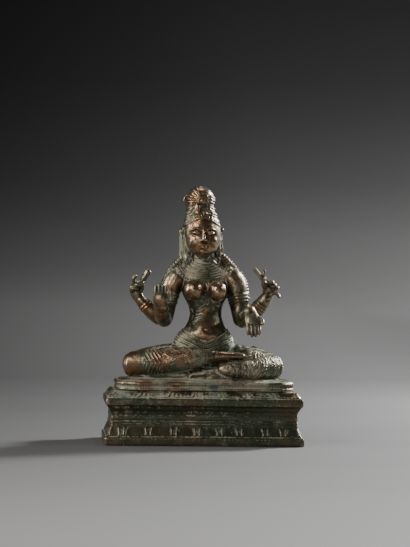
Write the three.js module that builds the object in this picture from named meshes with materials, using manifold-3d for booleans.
// Seated four-armed goddess in cast bronze on a stepped lotus plinth, for three.js.
// Millimetres, +Z up. The origin is the centre of the plinth's underside, the figure faces -Y,
// and +X is on the viewer's right.

import * as THREE from "three";
import { SimplifyModifier } from "three/addons/modifiers/SimplifyModifier.js";
import { mergeVertices } from "three/addons/utils/BufferGeometryUtils.js";
import Module from "manifold-3d";

const wasm = await Module();
wasm.setup();
const simplifier = new SimplifyModifier();

// Driving dimensions of the plinth
const plinthWidth = 111;
const plinthDepth = 58;
const footRimHeight = 4.8;
const lowerLotusHeight = 5.4;
const lowerLotusInset = 3.4;
const bandHeight = 1.8;
const ridgeHeight = 1.4;
const grooveInset = 4;
const beadMouldingHeight = 2.5;
const beadMouldingInset = 3.4;
const waistHeight = 5.1;
const waistInset = 3.7;
const waistFlare = 1.7;
const upperRimHeight = 5.2;
const upperRimInset = 0.6;
const upperRimChamfer = 1.2;
const upperLotusHeight = 3.8;
const edgeRound = 0.8;
const petalRelief = 0.5;
const petalMargin = 0.55;
const lowerPetalsAcross = 9;
const lowerPetalsDeep = 5;
const upperPetalsAcross = 7;
const upperPetalsDeep = 4;

// Driving dimensions of the seat slab that is cast with the figure. It is set in from the ends
// and from the front and back of the plinth that carries it.
const seatEndInset = 4.9;
const seatFrontInset = 3.5;
const seatHeight = 5.4;
const seatCorner = 13;
const seatOverhang = 1.2;
const seatSeam = 0.1;
const seatBow = 1;
const seatShift = 0.9;
const seatGroove = 0.7;
const seatUpperRoll = 1.2;
const seatLowerRoll = 0.5;
const seatLowerInset = 0.4;

// Driving dimensions of the figure; its pose and carving are shares of its height
const figureHeight = 110.6;
const part = figureHeight / 110.6;
const limbSides = 12;
const fingerSides = 6;
const weld = 1e-4;
const gridSpacing = 0.01;
const dropRadius = 0.15;
const figureFaces = 7900;
const plinthFaces = 1700;

const plinthHeight = footRimHeight + lowerLotusHeight + bandHeight + ridgeHeight +
  beadMouldingHeight + waistHeight + upperRimHeight + upperLotusHeight;
const upperLotusInset = Math.max(seatFrontInset, upperRimInset) + seatOverhang;
const seatWidth = plinthWidth - 2 * seatEndInset;
const seatDepth = plinthDepth - 2 * seatFrontInset;
const seatBottom = plinthHeight + seatSeam;
const seatTop = seatBottom + seatHeight;

const bronze = new THREE.MeshStandardMaterial({ color: 0x5b4330, roughness: 0.42, metalness: 0.9 });
const plinthBronze = new THREE.MeshStandardMaterial({ color: 0x3f382a, roughness: 0.5, metalness: 0.85 });

// Solids

// A closed three.js geometry as a manifold solid.
function solidOf(geometry) {
  const bare = geometry.clone();
  for (const name of Object.keys(bare.attributes)) {
    if (name !== "position") bare.deleteAttribute(name);
  }
  const merged = mergeVertices(bare, weld);
  const vertProperties = merged.attributes.position.array;
  const triVerts = new Uint32Array(merged.index.array);
  const solid = new wasm.Manifold(new wasm.Mesh({ numProp: 3, vertProperties, triVerts }));
  if (solid.volume() > 0) return solid;
  // A mirrored form is turned right side out.
  triVerts.reverse();
  return new wasm.Manifold(new wasm.Mesh({ numProp: 3, vertProperties, triVerts }));
}

function joined(solids) {
  return solids.reduce((whole, piece) => whole.add(piece));
}

// The geometry with its vertices moved to a fine grid. Collapsed faces are left out, and so are
// pairs of faces that come to lie back to back.
function onGrid(geometry) {
  const settled = reshaped(
    geometry.clone(), (v) => v.clone().divideScalar(gridSpacing).round().multiplyScalar(gridSpacing),
  );
  const merged = mergeVertices(settled, weld);
  const corners = merged.index.array;
  const kept = new Map();
  for (let i = 0; i < corners.length; i += 3) {
    const face = [...corners.slice(i, i + 3)];
    const first = face.indexOf(Math.min(...face));
    const [a, b, c] = [face[first], face[(first + 1) % 3], face[(first + 2) % 3]];
    const backToBack = `${a} ${c} ${b}`;
    if (a === b || b === c || c === a) continue;
    if (kept.has(backToBack)) kept.delete(backToBack);
    else kept.set(`${a} ${b} ${c}`, face);
  }
  return merged.setIndex([...kept.values()].flat());
}

// The edges that belong to more than two faces, each as its two end points.
function sharedEdges(geometry) {
  const corners = geometry.index.array;
  const uses = new Map();
  corners.forEach((corner, i) => {
    const next = corners[i % 3 === 2 ? i - 2 : i + 1];
    const ends = [Math.min(corner, next), Math.max(corner, next)];
    const edge = ends[0] * corners.length + ends[1];
    uses.set(edge, { ends, count: (uses.get(edge)?.count ?? 0) + 1 });
  });
  return [...uses.values()].filter(({ count }) => count !== 2).map(({ ends }) => ends.map(
    (corner) => new THREE.Vector3().fromBufferAttribute(geometry.attributes.position, corner),
  ));
}

// A thin rod of metal round the line between two points.
function rodAlong([start, end]) {
  const line = end.clone().sub(start);
  const rod = new THREE.CylinderGeometry(dropRadius, dropRadius, line.length() + 2 * dropRadius, 5);
  rod.applyQuaternion(new THREE.Quaternion().setFromUnitVectors(
    new THREE.Vector3(0, 1, 0), line.clone().normalize(),
  ));
  const middle = start.clone().addScaledVector(line, 0.5);
  return solidOf(rod.translate(middle.x, middle.y, middle.z));
}

function largestOf(solid) {
  return solid.decompose().reduce((largest, shell) => (shell.volume() > largest.volume() ? shell : largest));
}

// The outer body alone, with about the number of faces asked for. Hollows closed in between
// joined forms become solid metal. Where two skins of the body only touch along an edge, a thin
// rod of metal joins them, as solder would. If the rods touch in turn, a few faces are added.
async function cleaned(solid, faces) {
  const detailed = onGrid(geometryOf(solid));
  const vertices = detailed.attributes.position.count;
  for (let extra = 0; extra < 40; extra += 1) {
    const share = Math.min(1, (faces * (1 + extra / 100) * 3) / detailed.index.count);
    const simpler = await simplifier.modify(detailed, Math.floor(vertices * (1 - share)));
    const body = onGrid(geometryOf(largestOf(solidOf(onGrid(simpler)))));
    const rods = sharedEdges(body).map(rodAlong);
    const bridged = onGrid(geometryOf(largestOf(joined([solidOf(body), ...rods]))));
    if (sharedEdges(bridged).length === 0) return solidOf(bridged);
  }
  throw new Error("two skins of the body touch along an edge");
}

function geometryOf(solid) {
  const mesh = solid.getMesh();
  const geometry = new THREE.BufferGeometry();
  geometry.setAttribute("position", new THREE.BufferAttribute(mesh.vertProperties, 3));
  geometry.setIndex(new THREE.BufferAttribute(mesh.triVerts, 1));
  return geometry;
}

function meshOf(name, solid, material) {
  const geometry = geometryOf(solid);
  geometry.computeVertexNormals();
  const mesh = new THREE.Mesh(geometry, material);
  mesh.name = name;
  return mesh;
}

// Moves every vertex of a geometry through one function.
function reshaped(geometry, place) {
  const position = geometry.attributes.position;
  const vertex = new THREE.Vector3();
  for (let i = 0; i < position.count; i += 1) {
    vertex.fromBufferAttribute(position, i);
    const moved = place(vertex);
    position.setXYZ(i, moved.x, moved.y, moved.z);
  }
  return geometry;
}

// A point of the figure, from shares given above the seat's top.
function at(x, y, z) {
  return new THREE.Vector3(x * part, y * part, seatTop + z * part);
}

// A closed limb. Each station is x, y, z, half width and half depth. The half width lies along
// the across direction. Its first and last ends are domed by the shares given, or flat at 0.
// Each band is a ridge round the limb: its place along the stations, its width and its height.
// The rings of an upright form stay level, and otherwise they lie square to the line.
function limb(stations, {
  across = [1, 0, 0], sides = limbSides, domes = [0.5, 0.5], bands = [], upright = false,
} = {}) {
  const line = new THREE.CatmullRomCurve3(stations.map(([x, y, z]) => at(x, y, z)), false, "catmullrom");
  const girth = new THREE.CatmullRomCurve3(
    stations.map(([, , , wide, deep]) => new THREE.Vector3(wide * part, (deep ?? wide) * part, 0)),
    false,
    "catmullrom",
  );
  const spans = stations.length - 1;
  const ringAt = (place, raised = 0) => {
    const size = girth.getPoint(place / spans);
    size.x += raised * part;
    size.y += raised * part;
    const along = upright ? new THREE.Vector3(0, 0, 1) : line.getTangent(place / spans);
    return { place, centre: line.getPoint(place / spans), along, size };
  };
  const rings = stations.map((_, i) => ringAt(i));
  for (const [place, width, height] of bands) {
    const half = (width * part * spans) / (2 * line.getLength());
    for (let i = rings.length - 1; i >= 0; i -= 1) {
      if (Math.abs(rings[i].place - place) < half * 1.5) rings.splice(i, 1);
    }
    const edges = [[-1, 0], [-0.5, height], [0.5, height], [1, 0]];
    rings.push(...edges.map(([reach, raised]) => ringAt(place + reach * half, raised)));
  }
  rings.sort((first, second) => first.place - second.place);
  const domed = (ring, sign, dome) => (dome ? [{
    centre: ring.centre.clone().addScaledVector(ring.along, sign * 1.4 * dome * ring.size.y),
    along: ring.along,
    size: ring.size.clone().multiplyScalar(0.6),
  }] : []);
  const all = [...domed(rings[0], -1, domes[0]), ...rings, ...domed(rings.at(-1), 1, domes[1])];
  const wide = new THREE.Vector3(...across);
  const tube = new THREE.CylinderGeometry(1, 1, 1, sides, all.length - 1);
  return solidOf(reshaped(tube, (v) => {
    const ring = all[Math.round((0.5 - v.y) * (all.length - 1))];
    const a = wide.clone().addScaledVector(ring.along, -wide.dot(ring.along)).normalize();
    const b = ring.along.clone().cross(a);
    return ring.centre.clone().addScaledVector(a, v.x * ring.size.x).addScaledVector(b, v.z * ring.size.y);
  }));
}

// An ellipsoid of the figure.
function ball(x, y, z, rx, ry = rx, rz = rx, sides = 14) {
  const sphere = new THREE.SphereGeometry(1, sides, Math.ceil(sides * 0.6));
  const centre = at(x, y, z);
  return solidOf(reshaped(sphere, (v) => new THREE.Vector3(
    centre.x + v.x * rx * part,
    centre.y - v.z * ry * part,
    centre.z + v.y * rz * part,
  )));
}

// A closed ring. Its section is a list of points, each an offset across the ring and a lift off
// the surface beneath. place turns an angle, an offset and a lift into a point.
function ringOf(section, count, place) {
  const reach = 100;
  const outline = [...section, section[0]].map(([offset, lift]) => new THREE.Vector2(reach + lift, offset));
  const lathe = new THREE.LatheGeometry(outline, count);
  return solidOf(reshaped(lathe, (v) => place(Math.atan2(v.z, v.x), v.y, Math.hypot(v.x, v.z) - reach)));
}

// Plinth

// A rectangular moulding. Each profile point is an inset from the plinth's edge and a height.
function steppedBlock(profile) {
  const outline = [new THREE.Vector2(0, profile[0][1])];
  for (const [inset, height] of profile) outline.push(new THREE.Vector2(plinthWidth - inset, height));
  outline.push(new THREE.Vector2(0, profile.at(-1)[1]));
  const turned = new THREE.LatheGeometry(outline, 4, Math.PI / 4);
  return solidOf(reshaped(turned, (v) => {
    const reach = Math.hypot(v.x, v.z);
    if (reach < 1e-6) return new THREE.Vector3(0, 0, v.y);
    const inset = plinthWidth - reach;
    return new THREE.Vector3(
      Math.sign(v.x) * (plinthWidth / 2 - inset),
      -Math.sign(v.z) * (plinthDepth / 2 - inset),
      v.y,
    );
  }));
}

// The heights at which one moulding of the plinth gives way to the next.
const footRimTop = footRimHeight;
const lowerLotusTop = footRimTop + lowerLotusHeight;
const bandTop = lowerLotusTop + bandHeight;
const ridgeTop = bandTop + ridgeHeight;
const beadTop = ridgeTop + beadMouldingHeight;
const waistTop = beadTop + waistHeight;
const upperRimTop = waistTop + upperRimHeight;

const plinthProfile = [
  [edgeRound, 0],
  [0, edgeRound],
  [0, footRimTop - edgeRound],
  [edgeRound, footRimTop],
  [lowerLotusInset, lowerLotusTop],
  [lowerLotusInset, bandTop - bandHeight * 0.15],
  [grooveInset, bandTop],
  [lowerLotusInset, bandTop + ridgeHeight * 0.25],
  [lowerLotusInset, ridgeTop - ridgeHeight * 0.25],
  [grooveInset, ridgeTop],
  [beadMouldingInset, ridgeTop + beadMouldingHeight * 0.25],
  [beadMouldingInset, beadTop - beadMouldingHeight * 0.2],
  [waistInset, beadTop],
  [waistInset - waistFlare, waistTop],
  [upperRimInset, waistTop + upperRimChamfer],
  [upperRimInset, upperRimTop - edgeRound],
  [upperRimInset + edgeRound, upperRimTop],
  [upperLotusInset, plinthHeight],
];

// A lotus petal laid on a sloping face: a tongue with a round tip, raised by the petal relief.
// The tip lies at the outer edge of the slope.
function petal(width, length) {
  const half = width / 2 - petalMargin;
  const tongue = new THREE.Shape();
  tongue.moveTo(-half, length);
  tongue.lineTo(-half, half * 0.55);
  tongue.bezierCurveTo(-half, 0.1 * half, -0.5 * half, 0, 0, 0);
  tongue.bezierCurveTo(0.5 * half, 0, half, 0.1 * half, half, half * 0.55);
  tongue.lineTo(half, length);
  tongue.closePath();
  const thickness = 2 * petalRelief;
  return new THREE.ExtrudeGeometry(tongue, { depth: thickness, bevelEnabled: false, curveSegments: 3 });
}

// A row of petals along all four sides of one slope.
function petalRow(outerInset, outerHeight, innerInset, innerHeight, across, deep) {
  const run = innerInset - outerInset;
  const rise = innerHeight - outerHeight;
  const slope = Math.atan2(rise, run);
  const length = Math.hypot(run, rise);
  const sides = [
    { turn: 0, reach: plinthDepth / 2, span: plinthWidth, count: across },
    { turn: Math.PI / 2, reach: plinthWidth / 2, span: plinthDepth, count: deep },
    { turn: Math.PI, reach: plinthDepth / 2, span: plinthWidth, count: across },
    { turn: -Math.PI / 2, reach: plinthWidth / 2, span: plinthDepth, count: deep },
  ];
  const row = [];
  for (const side of sides) {
    const outerSpan = side.span - 2 * outerInset;
    const innerSpan = side.span - 2 * innerInset;
    for (let i = 0; i < side.count; i += 1) {
      const share = (i + 0.5) / side.count - 0.5;
      const place = new THREE.Matrix4().makeRotationZ(side.turn)
        .multiply(new THREE.Matrix4().makeTranslation(0, outerInset - side.reach, outerHeight))
        .multiply(new THREE.Matrix4().makeRotationX(slope));
      const blank = petal(outerSpan / side.count, length);
      const fanned = reshaped(blank, (v) => new THREE.Vector3(
        share * outerSpan + v.x + (v.y / length) * (share * (innerSpan - outerSpan)),
        v.y,
        v.z - petalRelief,
      ));
      row.push(solidOf(fanned.applyMatrix4(place)));
    }
  }
  return row;
}

async function buildPlinth() {
  const lowerPetals = petalRow(
    edgeRound, footRimTop, lowerLotusInset, lowerLotusTop, lowerPetalsAcross, lowerPetalsDeep,
  );
  const upperPetals = petalRow(
    upperRimInset + edgeRound, upperRimTop, upperLotusInset, plinthHeight,
    upperPetalsAcross, upperPetalsDeep,
  );
  const headroom = new THREE.BoxGeometry(plinthWidth * 2, plinthDepth * 2, plinthHeight);
  headroom.translate(0, 0, plinthHeight * 1.5);
  const carved = joined([steppedBlock(plinthProfile), ...lowerPetals, ...upperPetals]);
  return cleaned(carved.subtract(solidOf(headroom)), plinthFaces);
}

// Seat slab

function seatShape(inset) {
  const w = seatWidth / 2 - inset;
  const d = seatDepth / 2 - inset;
  const r = seatCorner - inset;
  const shape = new THREE.Shape();
  shape.moveTo(-w + r, -d);
  shape.quadraticCurveTo(0, -d - seatBow, w - r, -d);
  shape.quadraticCurveTo(w, -d, w, -d + r);
  shape.lineTo(w, d - r);
  shape.quadraticCurveTo(w, d, w - r, d);
  shape.lineTo(-w + r, d);
  shape.quadraticCurveTo(-w, d, -w, d - r);
  shape.lineTo(-w, -d + r);
  shape.quadraticCurveTo(-w, -d, -w + r, -d);
  return shape;
}

// The slab is two rounded mouldings with a groove between them, and lies a little to one side.
function buildSeat() {
  const lowerHeight = seatHeight * 0.4;
  const upperHeight = seatHeight - lowerHeight;
  const moulding = (inset, bottom, height, roll) => {
    const slab = new THREE.ExtrudeGeometry(seatShape(inset + roll), {
      depth: height - 2 * roll, bevelEnabled: true, bevelThickness: roll, bevelSize: roll,
      bevelSegments: 1, curveSegments: 4,
    });
    return solidOf(slab.translate(seatShift, 0, bottom + roll));
  };
  const coreGap = seatHeight * 0.05;
  return joined([
    moulding(seatLowerInset, seatBottom, lowerHeight, seatLowerRoll),
    moulding(seatLowerInset + seatGroove, seatBottom + coreGap, seatHeight - 2 * coreGap, seatSeam),
    moulding(0, seatBottom + lowerHeight, upperHeight, seatUpperRoll),
  ]);
}

// Body

// The trunk and neck, from the seat to inside the head.
const trunkStations = [
  [1, 8, -1, 24, 15],
  [1, 8, 7, 22.5, 15.5],
  [1.2, 6.5, 15, 19, 14],
  [1.3, 4.8, 21, 17.2, 12.6],
  [1.6, 3.4, 25.6, 15, 11.8],
  [1.9, 3.4, 30.4, 11.2, 10.4],
  [2.2, 4, 36.4, 9.1, 7.9],
  [2, 4.2, 42, 9.8, 8],
  [1.8, 4.4, 48, 12.6, 8.8],
  [1.4, 4.6, 55, 14.2, 8.8],
  [1, 4.6, 61, 13, 7.4],
  [0.6, 4.2, 65, 8.4, 6],
  [0.2, 3.8, 67.4, 5.4, 5],
  [-0.2, 3, 74, 5.2, 5.2],
];

function buildTrunk() {
  const navel = ball(1.8, -7.6, 28.4, 1, 1.2, 1, 8);
  const threadStations = [
    [1.6, -4.6, 56, 1, 0.9], [1.2, -5.6, 50, 1.1, 0.9], [1.1, -4.8, 44, 1, 0.9], [-0.6, -4.2, 38, 0.9, 0.8],
  ];
  return [
    limb(trunkStations, { sides: 20, domes: [0, 0], upright: true }).subtract(navel),
    ball(-5.6, -5.2, 50.9, 5.7, 6.2, 6),
    ball(8, -5, 50.4, 5.3, 6, 5.8),
    limb(threadStations, { sides: 5 }),
  ];
}

// The five toes at the end of a foot, with the great toe at one side.
function toes([x, y, z], [stepY, stepZ], size, recede) {
  return [0, 1, 2, 3, 4].map((i) => {
    const girth = size * (1.2 - 0.1 * i);
    return ball(x - recede * i, y + stepY * (i - 2), z + stepZ * (i - 2), girth, girth, size, 5);
  });
}

// The goddess's right leg lies on top, with its foot over the other thigh.
function buildLegs() {
  const lengthwise = { across: [0, 1, 0], sides: 14 };
  const rightThigh = [[-7, 7, 9.4, 11], [-18, 5, 10, 10.2], [-29, 1, 9.4, 9], [-38, -3.4, 8.4, 7.5]];
  const rightShin = [
    [-39.2, -4, 8.4, 7.4], [-30, -9.5, 9.6, 7.4], [-19, -13.4, 10.8, 6.7],
    [-8, -15.6, 12.2, 5.4], [3.4, -16, 13.9, 3.6],
  ];
  const rightFoot = [
    [4, -15.6, 14, 3.4, 3], [10, -15.4, 14.3, 3.4, 2.5],
    [16, -14.8, 14.2, 3.6, 2.4], [21.5, -14, 14, 3.4, 2.1],
  ];
  const leftThigh = [[9, 7, 10, 11], [20, 5, 10.2, 10], [31, 1, 9.2, 8.8], [39, -3, 8, 7.2]];
  const leftShin = [[40, -3.6, 7.8, 7.2], [34, -10, 7.4, 6.6], [28, -15, 6.8, 5.6], [22, -18, 6.4, 4.8]];
  const leftFoot = [
    [26, -18, 6.6, 4, 4.8], [19, -19.4, 6.6, 3.4, 4.6],
    [13.5, -19.8, 6.4, 3.2, 4.4], [10, -19.6, 6.2, 2.8, 3.6],
  ];
  return [
    limb(rightThigh, lengthwise),
    limb(rightShin, { ...lengthwise, bands: [[0.75, 1.6, 0.4], [2.2, 1.6, 0.4], [3.75, 1.8, 0.6]] }),
    limb(rightFoot, { across: [0, 1, 0] }),
    ...toes([24.4, -14, 14], [1.4, 0], 1.1, 0.35),
    limb(leftThigh, lengthwise),
    limb(leftShin, { ...lengthwise, bands: [[0.8, 1.6, 0.4], [1.7, 1.6, 0.4], [2.6, 1.8, 0.6]] }),
    limb(leftFoot, { across: [0, 1, 0] }),
    ...toes([8.6, -19.6, 6.4], [0, -1.7], 1.1, -0.35),
  ];
}

function buildArms() {
  const arm = (stations, bands = []) => limb(stations, { domes: [0, 0.5], bands });
  const armlet = [2.9, 2.6, 0.7];
  return [
    arm([
      [-9.6, 5.6, 59.8, 4.8], [-14.2, 4.8, 57.8, 6.1], [-17.1, 4.6, 53.8, 5.9], [-18.6, 4.2, 48, 5.4],
      [-20, 3, 41, 4.9], [-21.3, 0.6, 34.2, 4.6],
    ], [armlet]),
    arm([[-21.6, 0.6, 33.8, 4.5], [-23.4, -7, 37.2, 4.6], [-25, -14.8, 42, 3.9]], [[1.8, 1.8, 0.6]]),
    arm([[-13, 9.4, 56, 4.8], [-18.6, 11.8, 46, 4.5], [-23, 9.6, 34.4, 4.3]]),
    arm([[-23.2, 9.4, 34, 4.2], [-29, 7.8, 38.6, 4.1], [-35.2, 7, 44.8, 3.1]], [[1.7, 1.8, 0.6]]),
    arm([
      [11.4, 5.6, 60.4, 5], [16.1, 4.8, 58.4, 6.3], [19, 4.6, 54.2, 6.2], [20.4, 4.2, 48.4, 5.8],
      [21.4, 3, 41, 5.1], [22.4, 0.6, 34, 4.6],
    ], [armlet]),
    arm([[22.6, 0.4, 33.8, 4.5], [24, -5.6, 36.6, 4.3], [25.7, -12.4, 39.4, 3.5]], [[1.7, 1.8, 0.6]]),
    arm([[14.4, 9.4, 56.4, 4.8], [21, 11.8, 46, 4.5], [26.4, 9.8, 34.8, 4.4]]),
    arm([
      [26.6, 8.6, 34.6, 4.4], [31.4, 8.4, 39.4, 4.2], [36, 8, 45, 3.9], [38.4, 8, 48.6, 3.3],
    ], [[1.7, 3.2, 0.6]]),
  ];
}

// A finger from its knuckle through its joints to its tip.
function finger(points, thick = 1.1) {
  return limb(points.map(([x, y, z], i) => [x, y, z, thick * (1 - 0.1 * i)]), {
    across: [0.3, 1, 0.2], sides: fingerSides, domes: [0, 0.5],
  });
}

// Four fingers side by side. Each starts at its knuckle and runs through its middle to its tip.
function fingers(count, place) {
  return Array.from({ length: count }, (_, i) => finger(place(i)));
}

// The raised front hand: palm outwards, fingers together and upwards.
function blessingHand() {
  const tips = [52.6, 53.5, 53.4, 52.5];
  return [
    limb([[-25, -15.6, 42.2, 3.8, 2.6], [-25.2, -17.6, 45, 4.1, 2.1], [-25.2, -18.2, 47.8, 4, 1.6]]),
    ...fingers(4, (i) => [
      [-28.2 + i * 2, -18.2, 47], [-28.1 + i * 1.95, -18.6, 50.2], [-27.9 + i * 1.85, -18.4, tips[i]],
    ]),
    finger([[-22.4, -17.8, 44], [-20.9, -18.8, 46.6], [-21.2, -19.2, 49]], 1.2),
  ];
}

// The lowered front hand: palm outwards, fingers downwards.
function givingHand() {
  const tips = [26.6, 25.6, 25.8, 26.9];
  return [
    limb([[25.9, -12.4, 38.8, 3.5, 2.2], [26.8, -15.4, 35.4, 4.4, 2.1], [27.2, -17, 32.2, 4.4, 1.7]]),
    ...fingers(4, (i) => [
      [24 + i * 2.15, -17, 32.4], [24.1 + i * 2.15, -18.7, 29], [24.3 + i * 2.1, -19.1, tips[i]],
    ]),
    finger([[30, -15, 36], [32.1, -16.6, 34.4], [32.4, -18, 32.6]], 1.2),
  ];
}

// The raised rear hand at the viewer's left, which holds a short bar.
function barHand() {
  return [
    limb([[-35.4, 7, 45, 2.9, 2.2], [-37.6, 6.6, 48.6, 3.4, 2.2], [-38.2, 6.2, 52.6, 3.3, 2]]),
    ...fingers(3, (i) => [
      [-40 + i * 1.4, 5.4, 50.2 + i * 1.9], [-39.4 + i * 1.6, 2.8, 51.4 + i * 1.9],
      [-36.8 + i * 1.3, 2.6, 51 + i * 2],
    ]),
    finger([[-38.6, 6, 54.2], [-39.2, 5, 56.8], [-38.2, 4.2, 58.6]], 1.2),
    finger([[-35.2, 5.4, 49.4], [-34.2, 3.6, 52], [-34.6, 2.6, 54.4]], 1.2),
    limb([[-36, 3.6, 52.4, 0.9, 1], [-33.4, 4.4, 57.2, 1.3, 1.1], [-30.4, 5.2, 62.6, 1.5, 1.2]],
      { sides: 5 }),
  ];
}

// The raised rear hand at the viewer's right, which holds a forked stem.
function stemHand() {
  return [
    limb([[38.2, 8, 48.6, 3, 2.3], [38.8, 7.6, 52, 3.6, 2.3], [38, 7.2, 56, 3.2, 2]]),
    ...fingers(3, (i) => [
      [41 - i * 1.2, 6.2, 51.8 + i * 1.9], [43.6 - i * 1.5, 4, 53.2 + i * 1.6],
      [42.2 - i * 1.8, 2.8, 51.6 + i * 2],
    ]),
    finger([[41, 7, 50.2], [43.6, 6.6, 49.4], [44.8, 6.2, 47.8]]),
    finger([[36, 6, 53], [35, 4, 55.6], [35.6, 3, 58]], 1.2),
    limb([[37, 4.6, 54.4, 1, 1], [33.6, 5.6, 59.4, 1.2, 1.1], [30.2, 6.4, 63.8, 1.1, 1]], { sides: 5 }),
    limb([[34.6, 5.4, 57.8, 1, 1], [35.4, 5.8, 61, 1, 0.9], [35.8, 6, 62.8, 0.8, 0.7]],
      { sides: 5, domes: [0, 0.5] }),
  ];
}

// Head, with the features set by shares of the height from chin to hairline
const headStations = [
  [-0.5, -1.4, 71, 4, 4.2],
  [-0.4, 0, 72.8, 6.8, 7],
  [-0.4, 1, 75.4, 8.7, 8.4],
  [-0.4, 1.8, 79, 9.9, 9.4],
  [-0.5, 2.2, 83.4, 10.4, 9.9],
  [-0.7, 2.4, 87.6, 10.1, 9.7],
  [-0.9, 2.8, 91.4, 8.8, 8.6],
];
const chinHeight = 71.2;
const hairlineHeight = 92;

function buildHead() {
  const faceHeight = hairlineHeight - chinHeight;
  const noseBase = chinHeight + faceHeight / 3;
  const brow = chinHeight + (2 * faceHeight) / 3;
  const mouth = chinHeight + faceHeight * 0.22;
  const eyeLine = brow - faceHeight * 0.08;
  const middle = -0.5;
  return [
    limb(headStations, { sides: 20, domes: [0.12, 0.5], upright: true }),
    limb([
      [middle, -7.2, brow - 0.6, 0.8, 0.8], [middle, -8.2, noseBase + 2.6, 1.1, 1],
      [middle, -8.9, noseBase + 0.8, 1.8, 1.2],
    ], { sides: 6, domes: [0, 0.4] }),
    ball(middle, -7.3, mouth + 0.5, 2.5, 1.1, 0.6, 8),
    ball(middle, -7.2, mouth - 0.7, 2, 1.2, 0.7, 8),
    ball(middle, -5.8, chinHeight + 1.6, 2.6, 1.8, 1.7, 7),
    ...[-1, 1].flatMap((side) => [
      ball(middle + side * 3.8, -6.5, eyeLine, 2, 1.1, 0.8, 7),
      limb([
        [middle + side * 1.4, -7.4, brow - 0.2, 0.5], [middle + side * 3.8, -7.1, brow + 0.8, 0.6],
        [middle + side * 6.6, -5.4, brow, 0.5],
      ], { sides: 4, domes: [0, 0] }),
    ]),
  ];
}

// The crown of piled hair, in tiers that narrow towards a swelling knob.
const crownStations = [
  [-0.8, 4, 84, 10.4, 9],
  [-1, 3.8, 89, 10.2, 9.6],
  [-1.2, 3.4, 91.6, 9.6, 9.4],
  [-1.4, 3.2, 93.2, 8.3, 8.6],
  [-1.5, 3.2, 94.4, 8.9, 9.2],
  [-1.8, 3.2, 96, 7.5, 7.8],
  [-1.9, 3.2, 97.4, 8, 8.2],
  [-2, 3.2, 99, 7, 7.2],
  [-2, 3.2, 101, 7.7, 7.8],
  [-2, 3.2, 103.4, 8, 8],
  [-2, 3.2, 106.4, 6.9, 7],
  [-1.9, 3.2, 108.6, 5, 5],
  [-1.8, 3.2, 109.9, 2.8, 2.8],
];

function buildCrown() {
  return limb(crownStations, { sides: 20, domes: [0, 0.18], upright: true });
}

// The ornaments at the front and sides of the crown: a bud, two bosses below it, locks that fan
// out over the knob, and a small crescent.
function crownOrnaments(crown) {
  const root = [-1.4, 98];
  const onKnob = (angle, reach, girth) => {
    const x = root[0] + Math.sin(angle) * reach;
    const z = root[1] + Math.cos(angle) * reach;
    const hit = onSurface(crown, at(x, -40, z), at(x, 3, z));
    return [x, hit.y / part, z, girth];
  };
  const locks = [-2, -1, 0, 1, 2].map((i) => {
    const angle = i * 0.42;
    const stations = [onKnob(angle, 1.6, 0.6), onKnob(angle, 4.4, 0.95), onKnob(angle, 7, 0.7)];
    return limb(stations, { sides: 4, domes: [0, 0.4] });
  });
  return [
    ...locks,
    ball(-1.6, -4.4, 96, 2.3, 1.6, 2.4, 7),
    ball(-3.4, -5.8, 92.8, 1.6, 1.3, 1.7, 6),
    ball(0.4, -5.8, 92.6, 1.6, 1.3, 1.7, 6),
    limb([[-9, 2, 105.6, 0.6, 0.8], [-10.4, 1.8, 102.8, 0.9, 1], [-9.2, 2, 99.6, 0.6, 0.8]], { sides: 5 }),
  ];
}

// Long ear lobes that hang clear of the neck, down to the shoulders, with hair outside them.
function earsAndLocks() {
  return [-1, 1].flatMap((side) => {
    const leaning = ([x, y, z, ...girth]) => [side * x - 0.045 * (z - 68), y, z, ...girth];
    const ear = [
      [9.2, 3, 84, 1.2, 1.8], [9, 2.8, 76, 1.6, 1.9], [8.6, 2.8, 72.6, 2, 1.7],
      [9.5, 2.8, 69.4, 1.2, 1.5], [9.4, 2.6, 64, 1.4, 1.4],
    ];
    const wide = side < 0 ? 2.1 : 1.6;
    const lock = [
      [10.6, 6, 85, wide, 2.6], [11.2, 5.8, 76, wide, 3],
      [11.4, 5.6, 70, wide, 2.8], [13, 5.6, 62.4, 2.4, 2.6],
    ];
    const behindEar = [[8.6, 4.6, 80, 2.2, 2.4], [8.4, 4.6, 71.6, 1.8, 2]];
    return [
      limb(ear.map(leaning), { sides: 6, domes: [0, 0] }),
      limb(lock.map(leaning), { sides: 6 }),
      limb(behindEar.map(leaning), { sides: 6 }),
    ];
  });
}

// The wheel behind the head and the hair that falls in locks over the shoulders.
function backOfHead() {
  const hub = at(-0.4, 13.2, 83);
  const disc = new THREE.CylinderGeometry(7.4 * part, 7.4 * part, 2.6 * part, 12);
  disc.translate(hub.x, hub.y, hub.z);
  const boss = ball(-0.4, 14.4, 83, 3, 1.8, 3, 7);
  const tail = limb([
    [-0.4, 12.6, 76, 3, 2.2], [0, 11.6, 70, 2.4, 2], [0.4, 12, 62, 3.2, 2], [0.8, 12.8, 56, 1.6, 1.4],
  ], { sides: 6, domes: [0, 0.5] });
  const nape = limb(
    [[-0.4, 8, 79, 8, 4.6], [-0.2, 8, 71, 5.4, 3.6], [0.2, 8, 65.4, 9, 3.6]], { domes: [0, 0] },
  );
  const locks = [-1, 1].flatMap((side) => [0, 1, 2].map((i) => {
    const spread = 5.6 + i * 5;
    const drop = 7.4 - i * 0.6;
    return limb([
      [side * (spread * 0.7) + 0.4, 10, 66.4, 2, 1.6],
      [side * spread + 0.8, 11.6 - i * 0.8, 62.6 - i * 0.6, 2.1, 1.6],
      [side * (spread + 1 + i * 0.5) + 1, 11.2 - i * 0.9, 62.4 - drop - i * 1.4, 1.2, 1],
    ], { sides: 5, domes: [0, 0.5] });
  }));
  return [solidOf(disc), boss, tail, nape, ...locks];
}

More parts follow.
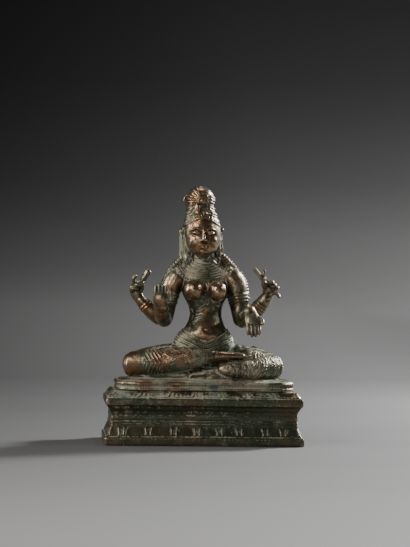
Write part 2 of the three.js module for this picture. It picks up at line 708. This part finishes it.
// Ornaments that lie on the skin. A ray from outside finds where the body's surface is.
const caster = new THREE.Raycaster();

function skinOf(solid) {
  const skin = new THREE.Mesh(geometryOf(solid));
  skin.updateMatrixWorld(true);
  return skin;
}

function onSurface(body, from, towards) {
  caster.set(from, towards.clone().sub(from).normalize());
  const hit = caster.intersectObject(body, false)[0];
  return hit ? hit.point : from.clone().lerp(towards, 0.5);
}

// The section of a broad band of ridged rows, from its inner edge at 0 to its outer edge at 1.
function ridgedSection(rows, height, sunk) {
  const section = [[1, -sunk], [0, -sunk]];
  for (let row = 0; row < rows; row += 1) {
    section.push([(row + 0.4) / rows, height]);
    if (row < rows - 1) section.push([(row + 1) / rows, height * 0.4]);
  }
  return section;
}

// A ridged band wrapped round the body. Its lower edge runs between front, side and back heights,
// and the bend says how close to the sides it climbs.
const wrapBend = 1.5;

function wrapped(body, [x, y], [front, side, back], breadth, rows, count) {
  return ringOf(ridgedSection(rows, 0.9, 1.4), count, (u, share, lift) => {
    const middleHeight = Math.sin(u) < 0 ? front : back;
    const sag = (side - middleHeight) * Math.abs(Math.cos(u)) ** wrapBend;
    const height = middleHeight + sag + breadth * share;
    const middle = at(x, y, height);
    const outside = new THREE.Vector3(Math.cos(u), Math.sin(u), 0);
    return onSurface(body, middle.clone().addScaledVector(outside, 60 * part), middle)
      .addScaledVector(outside, lift * part);
  });
}

// The broad collar of ridged rows that lies on the neck, the shoulders and the chest.
function collar(body, rows = 4, count = 24) {
  return ringOf(ridgedSection(rows, 0.9, 1.6), count, (u, share, lift) => {
    const ahead = Math.max(0, -Math.sin(u));
    const [x, y] = [0.7 + Math.cos(u) * (5.4 + 9.8 * share), 3.4 + Math.sin(u) * (5 + 3 * share)];
    const under = at(x, y, 65.4 - 8.6 * ahead * share);
    const outside = new THREE.Vector3(0.25 * Math.cos(u), -ahead, 1.1 - ahead * share).normalize();
    const reach = outside.clone().multiplyScalar(14 * part);
    return onSurface(body, under.clone().add(reach), under.clone().sub(reach))
      .addScaledVector(outside, lift * part);
  });
}

// The tassels that hang in a row down the outer side of each shoulder.
function shoulderTassels(body) {
  return [[-1, 4], [1, 7]].flatMap(([side, count]) => Array.from({ length: count }, (_, i) => {
    const height = 65.4 - i * 2.5;
    const reach = at(side * 60, 4.4, height);
    const point = onSurface(body, reach, at(side * 8, 4.4, height - 6));
    return ball(point.x / part, point.y / part, (point.z - seatTop) / part, 1.1, 1.5, 1.3, 5);
  }));
}

// The sash ends that lie over the thighs.
function sashes() {
  return [
    limb([[-9, 1.6, 20.6, 3.6, 1.6], [-18, 0, 19.4, 3.6, 1.4], [-28, -1.6, 17.2, 2.4, 1.1]],
      { across: [0, 1, 0], sides: 8 }),
    limb([[32, 5, 18, 2.4, 1.2], [36.4, 3.4, 16.6, 2.2, 1.1], [40.6, 1.6, 13.6, 1.4, 0.9]],
      { across: [0, 1, 0], sides: 6 }),
  ];
}

// The swell of metal from the legs down into the seat.
function underLegs() {
  return [
    limb([
      [-37, -4, 2.4, 6, 5.4], [-24, -8, 3, 6.4, 6], [-8, -9.4, 2.6, 7, 5.6], [10, -9.4, 2, 7, 4.4],
    ], { across: [0, 1, 0], sides: 10 }),
    limb([[12, -9, 1.6, 7, 4], [26, -9, 2, 7, 4.6], [39, -3.4, 1.8, 5.6, 4.8]],
      { across: [0, 1, 0], sides: 10 }),
  ];
}

async function buildFigure() {
  const trunk = joined(buildTrunk());
  const arms = joined(buildArms());
  const crown = buildCrown();
  const head = joined(buildHead()).add(crown);
  const shoulders = skinOf(trunk.add(arms));
  const dressed = joined([
    trunk, arms, head, ...buildLegs(), ...underLegs(), ...earsAndLocks(), ...backOfHead(), ...sashes(),
    ...blessingHand(), ...givingHand(), ...barHand(), ...stemHand(),
    wrapped(skinOf(trunk), [1.6, 5], [15.2, 22.8, 21], 5.8, 3, 20),
    wrapped(skinOf(head), [-1, 3.4], [91.2, 86.4, 84.6], 1.8, 1, 14),
    collar(shoulders), ...shoulderTassels(shoulders), ...crownOrnaments(skinOf(crown)),
  ]);
  const below = new THREE.BoxGeometry(seatWidth * 2, seatDepth * 2, seatHeight * 4);
  below.translate(0, 0, seatBottom + seatHeight / 2 - seatHeight * 2);
  return cleaned(joined([dressed.subtract(solidOf(below)), buildSeat()]), figureFaces);
}

const parvatiFigure = new THREE.Group();
parvatiFigure.add(meshOf("plinth", await buildPlinth(), plinthBronze));
parvatiFigure.add(meshOf("figure", await buildFigure(), bronze));

export default parvatiFigure;
